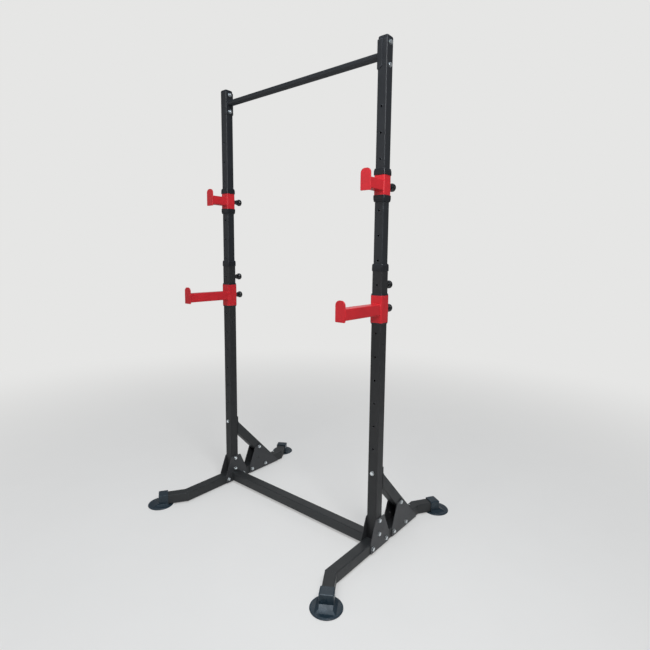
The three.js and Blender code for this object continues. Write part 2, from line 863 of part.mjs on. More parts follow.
const lowerUprightShape = toGeometry(lowerUpright());
const upperUprightShape = toGeometry(upperUpright());
const topCapShape = toGeometry(topCap());
const bushingShape = toGeometry(uprightBushing());
const baseLegShape = toGeometry(baseLeg());
const footShape = toGeometry(foot());
const gussetShape = toGeometry(gussetPlate(plateSeat));
const bracketOuterShape = toGeometry(bracketPlate(plateSeat, false));
const bracketInnerShape = mirrored(toGeometry(bracketPlate(plateSeat, true)));
const braceShape = toGeometry(rearBrace());
const jCupShape = toGeometry(jCup());
const collarShape = toGeometry(collar());
const spotterShape = toGeometry(spotterArm());
const lockKnobShape = toGeometry(pullKnob(lowerTube / 2, lowerWall, housingLength));
const jKnobShape = toGeometry(pullKnob(jSleeve / 2, jSleeveWall, jHousingLength));
const spotterKnobShape = toGeometry(pullKnob(spotterSleeve / 2, spotterSleeveWall, housingLength));

const gussetFace = plateSeat + gussetThickness;
const bracketFace = plateSeat + bracketThickness;
const gussetBoltShape = boltGeometry(gussetFace, -gussetFace);
const bracketBoltShape = boltGeometry(bracketFace, -bracketFace);
const channelBoltShape = boltGeometry(upperTube / 2, -upperTube / 2 - gap - channelWall);
const braceBoltShape = boltGeometry(lowerTube / 2, -lowerTube / 2 - gap - bracePlateThickness);
braceBoltShape.rotateZ(-Math.PI / 2);

function addStand(side, label) {
  const shaped = (geometry) => (side < 0 ? mirrored(geometry) : geometry);
  const stand = new THREE.Group();
  stand.position.x = side * standSpacing / 2;
  squatStand.add(stand);

  addPiece(stand, `lower_upright_${label}`, shaped(lowerUprightShape), powderCoat);
  addPiece(stand, `upper_upright_${label}`, shaped(upperUprightShape), innerCoat);
  addPiece(stand, `top_cap_${label}`, topCapShape, blackPlastic);
  addPiece(stand, `upright_bushing_${label}`, bushingShape, blackPlastic);
  addPiece(stand, `base_leg_${label}`, shaped(baseLegShape), powderCoat);
  addPiece(stand, `gusset_outer_${label}`, shaped(gussetShape), powderCoat);
  addPiece(stand, `gusset_inner_${label}`, shaped(mirrored(gussetShape)), powderCoat);
  addPiece(stand, `bracket_outer_${label}`, shaped(bracketOuterShape), powderCoat);
  addPiece(stand, `bracket_inner_${label}`, shaped(bracketInnerShape), powderCoat);
  addPiece(stand, `rear_brace_${label}`, shaped(braceShape), powderCoat);

  const footOffset = bootAhead - bootEndWall - gap;
  const frontFoot = addPiece(stand, `foot_front_${label}`, footShape, blackPlastic);
  const frontReach = legFrontReach - footOffset;
  frontFoot.position.set(side * outFront.x * frontReach, -legFrontBend + outFront.y * frontReach, 0);
  frontFoot.rotation.z = side * (Math.PI + splayAngle);
  const rearFoot = addPiece(stand, `foot_rear_${label}`, footShape, blackPlastic);
  const rearReach = legRearReach - footOffset;
  rearFoot.position.set(side * outRear.x * rearReach, legRearBend + outRear.y * rearReach, 0);
  rearFoot.rotation.z = -side * splayAngle;

  const jCarriage = new THREE.Group();
  jCarriage.position.z = lockHeight + jCupHole * holePitch;
  stand.add(jCarriage);
  addPiece(jCarriage, `j_cup_${label}`, jCupShape, redCoat);
  addPiece(jCarriage, `j_cup_collar_upper_${label}`, collarShape, blackPlastic, 0, 0, jSleeveAbove);
  const lowerCollar = addPiece(jCarriage, `j_cup_collar_lower_${label}`, collarShape, blackPlastic);
  lowerCollar.position.z = -jSleeveBelow;
  lowerCollar.rotation.x = Math.PI;
  addPiece(jCarriage, `j_cup_knob_${label}`, jKnobShape, blackPlastic);

  const spotterCarriage = new THREE.Group();
  spotterCarriage.position.z = lockHeight + spotterHole * holePitch;
  stand.add(spotterCarriage);
  addPiece(spotterCarriage, `spotter_arm_${label}`, spotterShape, redCoat);
  addPiece(spotterCarriage, `spotter_knob_${label}`, spotterKnobShape, blackPlastic);
  addPiece(stand, `height_lock_knob_${label}`, lockKnobShape, blackPlastic, 0, 0, lockHeight);

  const across = [
    ['bolt_gusset_upper', gussetBoltShape, 0, gussetUpperBolt],
    ['bolt_gusset_middle', gussetBoltShape, 0, gussetMiddleBolt],
    ['bolt_gusset_front', gussetBoltShape, -gussetFrontBolt, legBoltHeight],
    ['bolt_gusset_rear', gussetBoltShape, gussetRearBolt, legBoltHeight],
    ['bolt_bracket_front', bracketBoltShape, bracketFrontBolt, legBoltHeight],
    ['bolt_bracket_rear', bracketBoltShape, bracketRearBolt, legBoltHeight],
    ['bolt_bracket_brace', bracketBoltShape, bracketBraceBolt, braceBoltRise],
    ['bolt_channel_upper', channelBoltShape, 0, channelUpperBolt],
    ['bolt_channel_lower', channelBoltShape, 0, channelLowerBolt],
  ];
  across.forEach(([name, geometry, y, z]) => {
    addPiece(stand, `${name}_${label}`, shaped(geometry), zinc, 0, y, z);
  });
  addPiece(stand, `bolt_brace_top_${label}`, shaped(braceBoltShape), zinc, 0, 0, braceBoltHeight);
}

addStand(1, 'right');
addStand(-1, 'left');
addPiece(squatStand, 'crossbar', toGeometry(crossbar()), powderCoat);
addPiece(squatStand, 'pull_up_bar', toGeometry(pullUpBar()), innerCoat);

// The origin lies on the floor at the middle of the whole footprint
squatStand.updateMatrixWorld(true);
const footprint = new THREE.Box3().setFromObject(squatStand, true);
squatStand.position.y = -(footprint.min.y + footprint.max.y) / 2;
squatStand.updateMatrixWorld(true);

export default squatStand;
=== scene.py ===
import math

import bmesh
import bpy
from mathutils import Matrix, Vector


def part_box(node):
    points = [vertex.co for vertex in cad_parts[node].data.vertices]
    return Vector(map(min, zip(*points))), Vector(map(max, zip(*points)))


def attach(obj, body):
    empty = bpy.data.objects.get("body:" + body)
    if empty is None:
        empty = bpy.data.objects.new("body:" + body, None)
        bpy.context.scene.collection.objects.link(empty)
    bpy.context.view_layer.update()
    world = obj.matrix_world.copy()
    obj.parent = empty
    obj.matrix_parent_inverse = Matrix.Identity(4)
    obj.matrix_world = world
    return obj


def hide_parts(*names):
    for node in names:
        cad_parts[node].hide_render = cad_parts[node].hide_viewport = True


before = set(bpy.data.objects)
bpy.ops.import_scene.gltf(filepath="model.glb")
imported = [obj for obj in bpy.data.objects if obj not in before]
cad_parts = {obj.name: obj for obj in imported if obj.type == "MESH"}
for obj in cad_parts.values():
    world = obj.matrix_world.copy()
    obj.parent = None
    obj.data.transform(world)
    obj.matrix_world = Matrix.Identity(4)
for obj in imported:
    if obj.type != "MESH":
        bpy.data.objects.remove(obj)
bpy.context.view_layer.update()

# Base legs
# One 50 mm square steel tube per stand, mitred and welded so that both ends splay outwards,
# then shot-blasted and powder coated in charcoal.

mm = 0.001
SIDES = {"right": 1, "left": -1}


def colour(code):
    """A colour as a painter writes it, turned to the linear values that Blender mixes."""
    linear = []
    for place in (1, 3, 5):
        share = int(code[place:place + 2], 16) / 255
        linear.append(share / 12.92 if share <= 0.04045 else ((share + 0.055) / 1.055) ** 2.4)
    return (*linear, 1.0)


def add(tree, kind, settings=None, links=None):
    """One node with its settings, and the outputs that its inputs are linked to."""
    made = tree.nodes.new(kind)
    for name, value in (settings or {}).items():
        if isinstance(name, str) and hasattr(made, name):
            setattr(made, name, value)
        else:
            made.inputs[name].default_value = value
    for socket, source in (links or {}).items():
        tree.links.new(source, made.inputs[socket])
    return made


def bare_material(name):
    """A new material, its nodes, and the place on the piece that its patterns are laid out by."""
    material = bpy.data.materials.new(name)
    material.use_nodes = True
    tree = material.node_tree
    tree.nodes.clear()
    return material, tree, add(tree, "ShaderNodeTexCoord").outputs["Object"]


def soft_edges(tree, corner, sharpest, strongest):
    """A normal that rounds corners off, and a mask from 0 on the flats to `strongest` on them."""
    rounded = add(tree, "ShaderNodeBevel", {"samples": 6, "Radius": corner}).outputs["Normal"]
    facing = add(tree, "ShaderNodeNewGeometry").outputs["True Normal"]
    turn = add(tree, "ShaderNodeVectorMath", {"operation": "DOT_PRODUCT"}, {0: rounded, 1: facing})
    edge = add(tree, "ShaderNodeMapRange",
               {"From Min": 0.995, "From Max": sharpest, "To Min": 0.0, "To Max": strongest},
               {"Value": turn.outputs["Value"]})
    return rounded, edge.outputs["Result"]


def powder_coat(name, full, thin_and_highlit, roughness, peel, corner):
    """Polyester powder baked on steel: even colour over a fine orange peel, paler on its edges,
    partly where the coat thins and partly as a painted highlight along them, and a little duller
    where hands and dust have been."""
    material, tree, place = bare_material(name)
    # Orange peel: soft pools as wide as `peel`
    pools = add(tree, "ShaderNodeTexNoise", {"Scale": 1 / peel, "Detail": 2.0, "Roughness": 0.45},
                {"Vector": place})
    # Powder grains, about 0.5 mm so that they show at all
    grains = add(tree, "ShaderNodeTexNoise", {"Scale": 1 / (0.5 * mm), "Detail": 1.0},
                 {"Vector": place})
    # Handling marks and dust, a hand wide
    handled = add(tree, "ShaderNodeTexNoise",
                  {"Scale": 1 / (85 * mm), "Detail": 4.0, "Roughness": 0.6}, {"Vector": place})
    rounded, edge = soft_edges(tree, corner, 0.86, 1.0)
    # The edges are paled in patches, not all along: partly a worn-thin coat, partly a painted
    # highlight
    patchy = add(tree, "ShaderNodeMapRange",
                 {"From Min": 0.35, "From Max": 0.65, "To Min": 0.25, "To Max": 0.8},
                 {"Value": handled.outputs["Fac"]})
    thinned_and_highlit = add(tree, "ShaderNodeMath", {"operation": "MULTIPLY"},
                  {0: edge, 1: patchy.outputs["Result"]})
    # Painted highlight: the pale edge colour along edges stands in for their glints as well as for
    # the thinner coat there
    tone = add(tree, "ShaderNodeMix", {"data_type": "RGBA", 6: colour(full), 7: colour(thin_and_highlit)},
               {0: thinned_and_highlit.outputs["Value"]})
    cloud = add(tree, "ShaderNodeMapRange",
                {"From Min": 0.3, "From Max": 0.7, "To Min": 0.93, "To Max": 1.07},
                {"Value": handled.outputs["Fac"]})
    shade = add(tree, "ShaderNodeHueSaturation", None,
                {"Color": tone.outputs[2], "Value": cloud.outputs["Result"]})
    dull = add(tree, "ShaderNodeMapRange",
               {"From Min": 0.3, "From Max": 0.7,
                "To Min": roughness - 0.05, "To Max": roughness + 0.08},
               {"Value": handled.outputs["Fac"]})
    peeled = add(tree, "ShaderNodeBump", {"Strength": 0.6, "Distance": 0.05 * mm},
                 {"Height": pools.outputs["Fac"], "Normal": rounded})
    grained = add(tree, "ShaderNodeBump", {"Strength": 0.35, "Distance": 0.02 * mm},
                  {"Height": grains.outputs["Fac"], "Normal": peeled.outputs["Normal"]})
    coat = add(tree, "ShaderNodeBsdfPrincipled", {"Metallic": 0.0, "IOR": 1.5},
               {"Base Color": shade.outputs["Color"], "Roughness": dull.outputs["Result"],
                "Normal": grained.outputs["Normal"]})
    add(tree, "ShaderNodeOutputMaterial", None, {"Surface": coat.outputs["BSDF"]})
    return material


def dress(node, material):
    """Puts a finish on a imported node, which keeps its own mesh."""
    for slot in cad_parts[node].material_slots:
        slot.material = material


def piece(name, shape, material, body, place=None, stands_for=(), crease=35, wall=0,
          wall_side=-1):
    """Closes a bmesh into a named object that rides on a body; its place is in its mesh. A sheet
    gets its wall inwards, or outwards where `wall_side` is 1, and flats keep one normal right up
    to their soft corners."""
    if place is not None:
        bmesh.ops.transform(shape, matrix=place, verts=shape.verts)
    bmesh.ops.recalc_face_normals(shape, faces=shape.faces)
    for face in shape.faces:
        face.smooth = True
    for edge in shape.edges:
        edge.smooth = edge.is_manifold and edge.calc_face_angle() < math.radians(crease)
    mesh = bpy.data.meshes.new(name)
    shape.to_mesh(mesh)
    shape.free()
    mesh.materials.append(material)
    made = bpy.data.objects.new(name, mesh)
    bpy.context.scene.collection.objects.link(made)
    if wall:
        thick = made.modifiers.new("wall", "SOLIDIFY")
        thick.thickness = wall
        thick.offset = wall_side
    made.modifiers.new("flat flats", "WEIGHTED_NORMAL").keep_sharp = True
    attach(made, body)
    if stands_for:
        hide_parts(*stands_for)


BEAD_PITCH = 2.2 * mm  # from one ripple of a weld to the next


def bead_route(width, depth, corner):
    """The way a welder goes round a tube: points along a level rectangle with round corners."""
    route = []
    centres = [Vector((across * (width / 2 - corner), along * (depth / 2 - corner), 0))
               for across, along in ((1, 1), (-1, 1), (-1, -1), (1, -1))]
    steps = max(2, round(corner * math.pi / 2 / BEAD_PITCH))
    for number, centre in enumerate(centres):
        for step in range(steps + 1):
            angle = (number + step / steps) * math.pi / 2
            route.append(centre + corner * Vector((math.cos(angle), math.sin(angle), 0)))
        # Straight on to where the next corner starts
        angle = (number + 1) * math.pi / 2
        end = centres[(number + 1) % 4] + corner * Vector((math.cos(angle), math.sin(angle), 0))
        start = route[-1]
        straight = (end - start).length
        if straight < BEAD_PITCH / 2:
            route.pop()
        else:
            ripples = max(1, round(straight / BEAD_PITCH))
            route.extend(start.lerp(end, step / ripples) for step in range(1, ripples))
    return route


def weld(shape, place, width, depth, corner, radius):
    """A bead round a tube's end: ring after ring, every other one fuller, like the ripples that a
    weld pool leaves. `place` turns the level rectangle to the joint."""
    route = [place @ point for point in bead_route(width, depth, corner)]
    rings = []
    for number, point in enumerate(route):
        ahead = route[(number + 1) % len(route)] - route[number - 1]
        turn = ahead.to_track_quat("Z", "Y").to_matrix().to_4x4()
        swell = 1.0 if number % 2 else 0.84
        made = bmesh.ops.create_circle(shape, cap_ends=False, segments=6, radius=radius * swell,
                                       matrix=Matrix.Translation(point) @ turn)
        rings.append(list({edge for vert in made["verts"] for edge in vert.link_edges}))
    for ring, following in zip(rings, rings[1:] + rings[:1]):
        bmesh.ops.bridge_loops(shape, edges=ring + following)


# Charcoal polyester powder with a half-matt shine
charcoal_coat = powder_coat("charcoal powder coat", "#2a2c2d", "#5c6062", 0.46, 1.6 * mm, 1.6 * mm)
TUBE = 50 * mm
TUBE_CORNER = 4 * mm
LEG_MIDDLE = 31.3 * mm
SPLAY = math.radians(32)
BENDS = {"front": -318 * mm, "rear": 386 * mm}
stand_x = 510 * mm
stand_y = sum(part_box("upper_upright_right"), Vector()).y / 2

for name, side in SIDES.items():
    dress(f"base_leg_{name}", charcoal_coat)
    # The mitre welds, ground almost flush, lie on the plane that halves each bend
    seams = bmesh.new()
    ground = TUBE - 0.6 * mm
    for end, bend in BENDS.items():
        lean = side * SPLAY / 2 * (1 if end == "front" else -1)
        across = Vector((math.cos(lean), math.sin(lean), 0)) / math.cos(SPLAY / 2)
        upwards = Vector((0, 0, 1))
        mitre = Matrix((across, upwards, across.cross(upwards))).transposed().to_4x4()
        middle = Vector((side * stand_x, stand_y + bend, LEG_MIDDLE))
        weld(seams, Matrix.Translation(middle) @ mitre, ground, ground, TUBE_CORNER, 1.1 * mm)
    piece(f"leg_mitre_welds_{name}", seams, charcoal_coat, "base_frame")

# Feet
# A moulded polypropylene pad, 132 mm across, with a square thick-walled boot that is pushed over
# the leg's end. The boot flares into the pad at its sides and runs out in a ramp in front.


def rounded_loop(shape, width, depth, corner, height, along=0):
    """A level rectangle of edges with round corners, its middle moved by `along` in y."""
    old_faces = set(shape.faces)
    old_edges = set(shape.edges)
    square = bmesh.ops.create_grid(shape, x_segments=1, y_segments=1, size=0.5)["verts"]
    bmesh.ops.scale(shape, vec=(width, depth, 1), verts=square)
    bmesh.ops.translate(shape, vec=(0, along, height), verts=square)
    bmesh.ops.bevel(shape, geom=square, offset=corner, offset_type="OFFSET", segments=5,
                    profile=0.5, affect="VERTICES", clamp_overlap=True, material=-1)
    sheet = [face for face in shape.faces if face not in old_faces]
    bmesh.ops.delete(shape, geom=sheet, context="FACES_ONLY")
    return [edge for edge in shape.edges if edge not in old_edges]


def walls(shape, sizes, ends):
    """Walls through a stack of level loops, each (width, depth, corner, height) and perhaps
    along. The last loop gets a face where the ends are "top", both end loops do where they are
    "closed", and where they are "back" the walls lead from the last loop to the first."""
    loops = [rounded_loop(shape, *size) for size in sizes]
    for loop, following in zip(loops, loops[1:]):
        bmesh.ops.bridge_loops(shape, edges=loop + following)
    if ends == "back":
        bmesh.ops.bridge_loops(shape, edges=loops[-1] + loops[0])
    else:
        bmesh.ops.contextual_create(shape, geom=loops[-1])
    if ends == "closed":
        bmesh.ops.contextual_create(shape, geom=loops[0])


def in_mm(*profile):
    """A turned form's pairs of (radius, height), given in millimetres."""
    return [(radius * mm, height * mm) for radius, height in profile]


def turned(shape, profile, steps):
    """A turned form: pairs of (radius, height) spun once round the z axis."""
    old = set(shape.verts)
    points = [shape.verts.new((radius, 0, height)) for radius, height in profile]
    edges = [shape.edges.new(pair) for pair in zip(points, points[1:])]
    bmesh.ops.spin(shape, geom=points + edges, cent=(0, 0, 0), axis=(0, 0, 1), angle=math.tau,
                   steps=steps, use_merge=True)
    made = [vert for vert in shape.verts if vert not in old]
    bmesh.ops.remove_doubles(shape, verts=made, dist=1e-6)
    return [vert for vert in shape.verts if vert not in old]


def moulded(name, full, scuffed, roughness, grain, corner):
    """Moulded plastic: an even tone with the fine spark-eroded grain of its mould, slight flow
    clouds, and pale scuffs on what sticks out."""
    material, tree, place = bare_material(name)
    texture = add(tree, "ShaderNodeTexVoronoi", {"Scale": 1 / grain, "Randomness": 1.0},
                  {"Vector": place})
    # Flow clouds a few centimetres wide
    flow = add(tree, "ShaderNodeTexNoise",
               {"Scale": 1 / (40 * mm), "Detail": 3.0, "Distortion": 0.6}, {"Vector": place})
    # Scratches up to 9 mm long, all about one way
    stretched = add(tree, "ShaderNodeMapping",
                    {"Rotation": (0.3, 0.2, 0.7), "Scale": (1.0, 7.0, 1.0)}, {"Vector": place})
    scratches = add(tree, "ShaderNodeTexNoise",
                    {"Scale": 1 / (9 * mm), "Detail": 6.0, "Roughness": 0.7},
                    {"Vector": stretched.outputs["Vector"]})
    rounded, edge = soft_edges(tree, corner, 0.85, 0.7)
    marked = add(tree, "ShaderNodeMapRange",
                 {"From Min": 0.6, "From Max": 0.76, "To Min": 0.0, "To Max": 0.35},
                 {"Value": scratches.outputs["Fac"]})
    scuffs = add(tree, "ShaderNodeMath", {"operation": "MAXIMUM"},
                 {0: edge, 1: marked.outputs["Result"]})
    tone = add(tree, "ShaderNodeMix", {"data_type": "RGBA", 6: colour(full), 7: colour(scuffed)},
               {0: scuffs.outputs["Value"]})
    dull = add(tree, "ShaderNodeMapRange",
               {"From Min": 0.3, "From Max": 0.7,
                "To Min": roughness - 0.06, "To Max": roughness + 0.08},
               {"Value": flow.outputs["Fac"]})
    grained = add(tree, "ShaderNodeBump", {"Strength": 0.45, "Distance": 0.05 * mm},
                  {"Height": texture.outputs["Distance"], "Normal": rounded})
    scratched = add(tree, "ShaderNodeBump", {"Strength": 0.3, "Distance": 0.04 * mm},
                    {"Height": scratches.outputs["Fac"], "Normal": grained.outputs["Normal"]})
    plastic = add(tree, "ShaderNodeBsdfPrincipled", {"Metallic": 0.0, "IOR": 1.49},
                  {"Base Color": tone.outputs[2], "Roughness": dull.outputs["Result"],
                   "Normal": scratched.outputs["Normal"]})
    add(tree, "ShaderNodeOutputMaterial", None, {"Surface": plastic.outputs["BSDF"]})
    return material


# Black polypropylene with a dry, grained skin, tinted blue partly for its own pigment and partly as
# a painted bluish sheen
foot_plastic = moulded("grained polypropylene", "#20303a", "#64788a", 0.3, 0.9 * mm, 0.8 * mm)
# The pad's rim is rounded, and a shallow groove runs round its top
PAD = in_mm((0, 0), (63, 0), (65.1, 0.9), (66, 2.2), (65.8, 3.6), (64.8, 5.1), (63.2, 6), (61, 6),
            (60.4, 5.3), (59.2, 5.3), (58.6, 6), (0, 6))
BOOT_BACK = -44 * mm
BOOT_AHEAD = 4 * mm
BOOT_WIDTH = 60 * mm
BOOT_TOP = 62 * mm
BOOT_CORNER = 3.4 * mm
BOOT_WALL = 4.6 * mm
BOOT_SHIFT = {"front": 6 * mm, "rear": 0}  # the front boots stand further out on their pads
SKIRT_FLARE = 13 * mm
RAMP = 31 * mm
# Shares of the ramp and of the flare that are left at each height in millimetres; the ramp in
# front runs out higher up the boot than the flare along its sides
SKIRT = ((1, 1, 5.9), (0.94, 0.93, 6.5), (0.71, 0.48, 9.5), (0.52, 0.03, 12.6), (0.485, 0, 13.2),
         (0.235, 0, 17.8), (0.005, 0, 22.4), (0, 0, 23))
# The rounding of the boot's top: millimetres in from its sides and below its top
SHOULDER = ((0, 3.2), (0.2, 2.5), (0.8, 1.9), (3.4, 0.35), (4.2, 0.05), (5, 0))

for name, side in SIDES.items():
    for end in ("front", "rear"):
        node = f"foot_{end}_{name}"
        low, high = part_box(node)
        middle = (low + high) / 2
        heading = side * (math.pi + SPLAY) if end == "front" else -side * SPLAY
        place = Matrix.Translation((middle.x, middle.y, 0)) @ Matrix.Rotation(heading, 4, "Z")

        pad = bmesh.new()
        turned(pad, PAD, 72)
        piece(f"foot_pad_{end}_{name}", pad, foot_plastic, "base_frame", place,
              [node])

        # The boot is made twice as deep as it is and cut through at its open back
        boot = bmesh.new()
        deep = 2 * (BOOT_AHEAD - BOOT_BACK)
        sizes = [(BOOT_WIDTH + 2 * SKIRT_FLARE * flare, deep + RAMP * ramp,
                  BOOT_CORNER + 2.6 * mm * flare, height * mm, BOOT_BACK + RAMP * ramp / 2)
                 for ramp, flare, height in SKIRT]
        sizes += [(BOOT_WIDTH - 2 * inwards * mm, deep - 2 * inwards * mm, BOOT_CORNER,
                   BOOT_TOP - below * mm, BOOT_BACK) for inwards, below in SHOULDER]
        walls(boot, sizes, ends="top")
        bmesh.ops.bisect_plane(boot, geom=boot.verts[:] + boot.edges[:] + boot.faces[:],
                               plane_co=(0, BOOT_BACK, 0), plane_no=(0, 1, 0), clear_inner=True)
        piece(f"foot_boot_{end}_{name}", boot, foot_plastic, "base_frame",
              place @ Matrix.Translation((0, BOOT_SHIFT[end], 0)), [node], wall=BOOT_WALL)

# Lower uprights
# 50 mm square tube with holes punched every 105 mm down its front and back, and the threaded
# housing of the height pin welded on behind; the charcoal coat here carries painted shade, a shade
# darker than on the legs.


def turn_to(axis):
    """Turns what was made along +z to point along x, -x, y or -y."""
    return Vector(axis).to_track_quat("Z", "X").to_matrix().to_4x4()


# The lip's section: millimetres out from the hole's edge and up from the tube's face
LIP = ((-0.6, -1.6), (-0.55, -0.1), (-0.3, 0.1), (0.5, 0.14), (0.9, 0.02), (0.7, -0.3),
       (-0.3, -1.6), (-0.6, -1.6))


def hole_rims(shape, spots, radius):
    """The punch leaves a soft round lip in the coat: a thin ring at each (place, direction)."""
    for spot, direction in spots:
        made = turned(shape, [(radius + out * mm, up * mm) for out, up in LIP], 24)
        bmesh.ops.transform(shape, matrix=Matrix.Translation(spot) @ turn_to(direction),
                            verts=made)


# The same powder as on the legs, painted a shade darker on the uprights as painted shade
upright_coat_shaded = powder_coat("charcoal powder coat with painted shade on upright", "#1f2021", "#54575a", 0.46,
                           1.6 * mm, 1.6 * mm)
HOLE_PITCH = 105 * mm
LOCK_HEIGHT = 1222 * mm
LOWER_HALF = 25 * mm
PIN_HOLE = 5.3 * mm
SIDE_HOLE = 4 * mm
SIDE_HOLE_HEIGHT = 965 * mm
BEAD_OFF = 0.3 * mm  # a bead's middle stands this far off the face that it lies on
HOUSING_BEAD = 23 * mm  # across the bead round a 22 mm pin housing

for name, side in SIDES.items():
    dress(f"lower_upright_{name}", upright_coat_shaded)
    x = side * stand_x
    rims = bmesh.new()
    heights = [LOCK_HEIGHT - number * HOLE_PITCH for number in range(8)]
    spots = [((x, stand_y - LOWER_HALF, height), (0, -1, 0)) for height in heights]
    # Behind, the topmost hole lies under the pin's housing
    spots += [((x, stand_y + LOWER_HALF, height), (0, 1, 0)) for height in heights[1:]]
    hole_rims(rims, spots, PIN_HOLE)
    hole_rims(rims, [((x + way * LOWER_HALF, stand_y, SIDE_HOLE_HEIGHT), (way, 0, 0))
                     for way in (1, -1)], SIDE_HOLE)
    piece(f"lower_hole_rims_{name}", rims, upright_coat_shaded, "base_frame", crease=60)

    bead = bmesh.new()
    place = Matrix.Translation((x, stand_y + LOWER_HALF + BEAD_OFF, LOCK_HEIGHT))
    weld(bead, place @ turn_to((0, 1, 0)), HOUSING_BEAD, HOUSING_BEAD, HOUSING_BEAD / 2, 1.5 * mm)
    piece(f"lock_housing_weld_{name}", bead, upright_coat_shaded, "base_frame")

# Upright bushings
# A moulded nylon collar pressed over each lower tube's mouth; its lip guides the upper tube.
# Satin black, with a fine parting line round its shoulder.


def square_levels(profile, start, way=1):
    """Square loops for `walls` from (width, corner, height) in millimetres; the heights run up
    from `start`, or down from it where `way` is -1."""
    return [(width * mm, width * mm, corner * mm, start + way * height * mm)
            for width, corner, height in profile]


# Black nylon, satin from its mould
black_nylon = moulded("satin moulded nylon", "#13161b", "#4d545f", 0.36, 0.7 * mm, 0.7 * mm)
BUSHING = [(53.4, 5.1, 0), (54.2, 5.5, 0.5), (54.8, 5.8, 1.4), (55.2, 6, 3.2), (55.4, 6, 9),
           (55.3, 6, 16), (54.9, 5.9, 22), (54.6, 5.8, 25.6), (54, 5.5, 26.5), (52.7, 5.2, 26.9),
           (52.4, 5.1, 27.8), (51.6, 4.9, 29.6), (50.8, 4.7, 30.6), (49.8, 4.5, 31)]
BUSHING_BORE = [(45.8, 3.6, 31), (45.7, 3.5, 18.6), (50.7, 4, 18.4), (50.7, 4, 0)]

for name, side in SIDES.items():
    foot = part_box(f"upright_bushing_{name}")[0].z
    bushing = bmesh.new()
    walls(bushing, square_levels(BUSHING + BUSHING_BORE, foot), ends="back")
    piece(f"bushing_{name}", bushing, black_nylon, "base_frame",
          Matrix.Translation((side * stand_x, stand_y, 0)), [f"upright_bushing_{name}"],
          crease=50)

# Gusset and bracket plates
# 3 mm steel plates, laser cut with round corners and powder coated; the gussets bolt the upright
# to the leg, the brackets bolt the brace to the leg.

# The same charcoal powder, painted paler on the flat plates for the light that they catch
plate_coat_lit = powder_coat("charcoal powder coat with painted light on plate", "#3c3d3f", "#74777a", 0.42, 1.4 * mm,
                         0.7 * mm)
for name in SIDES:
    for plate in ("gusset_outer", "gusset_inner", "bracket_outer", "bracket_inner"):
        dress(f"{plate}_{name}", plate_coat_lit)

# Rear braces
# A 50 mm tube at 46.5 degrees with a 4 mm plate welded across its upper end.
# The bead runs all round the slanted cut.

BRACE_SLOPE = math.radians(46.5)
BRACE_START = 330 * mm
BRACE_FACE = 29.8 * mm  # the end plate's back, behind the upright's middle
AROUND_TUBE = 50.4 * mm
BEAD = 1.8 * mm
for name, side in SIDES.items():
    dress(f"rear_brace_{name}", charcoal_coat)
    bead = bmesh.new()
    height = BRACE_START - math.tan(BRACE_SLOPE) * (BRACE_FACE - LOWER_HALF)
    place = Matrix.Translation((side * stand_x, stand_y + BRACE_FACE, height))
    weld(bead, place @ Matrix.Rotation(math.pi / 2, 4, "X"), AROUND_TUBE,
         TUBE / math.cos(BRACE_SLOPE), TUBE_CORNER, BEAD)
    piece(f"brace_weld_{name}", bead, charcoal_coat, "base_frame")

# Crossbar
# A 50 mm tube welded between the two inner gusset plates, 15 mm off the floor.
# Same charcoal coat, laid over the beads.

dress("crossbar", charcoal_coat)
low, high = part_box("crossbar")
bead = bmesh.new()
for end in (low.x, high.x):
    inside = end - math.copysign(0.4 * mm, end)
    place = Matrix.Translation((inside, stand_y, (low.z + high.z) / 2)) @ turn_to((1, 0, 0))
    weld(bead, place, AROUND_TUBE, AROUND_TUBE, TUBE_CORNER, BEAD)
piece("crossbar_welds", bead, charcoal_coat, "base_frame")

# Upper uprights
# 45 mm square tube, punched every 105 mm, in a smoother blue-black coat than the base.

# Blue-black powder that flowed out smoother, with wider and softer pools
smooth_coat = powder_coat("smooth blue-black powder coat", "#1d2024", "#5b616a", 0.4, 2.4 * mm,
                          1.6 * mm)
UPPER_HALF = 22.5 * mm
for name, side in SIDES.items():
    dress(f"upper_upright_{name}", smooth_coat)
    rims = bmesh.new()
    spots = [((side * stand_x, stand_y + way * UPPER_HALF, LOCK_HEIGHT + number * HOLE_PITCH),
              (0, way, 0)) for number in range(-2, 8) for way in (1, -1)]
    hole_rims(rims, spots, PIN_HOLE)
    piece(f"upper_hole_rims_{name}", rims, smooth_coat, "upper_frame", crease=60)

# Top caps
# A low domed polyethylene plug in the top of each upper tube.
# Soft edges, satin black.

# Black polyethylene, a little waxy
cap_plastic = moulded("satin moulded polyethylene", "#161a20", "#515965", 0.4, 0.8 * mm, 0.8 * mm)
CAP_HEIGHT = 16 * mm
CAP = [(40.4, 1.6, -5), (40.4, 1.6, 0), (44.2, 3.2, 0), (45, 3.5, 0.8), (45, 3.5, 8),
       (44.7, 4, 10.4), (43.6, 5, 12.8), (41.2, 6, 14.6), (37, 7, 15.6), (30, 8, 16)]
for name, side in SIDES.items():
    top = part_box(f"top_cap_{name}")[1].z
    cap = bmesh.new()
    walls(cap, square_levels(CAP, top - CAP_HEIGHT), ends="closed")
    piece(f"cap_{name}", cap, cap_plastic, "upper_frame",
          Matrix.Translation((side * stand_x, stand_y, 0)), [f"top_cap_{name}"], crease=50)

# Pull-up bar
# A 32 mm round tube welded at each end to a bent 3 mm channel that grips the upper upright.
# Both carry the smooth blue-black coat.

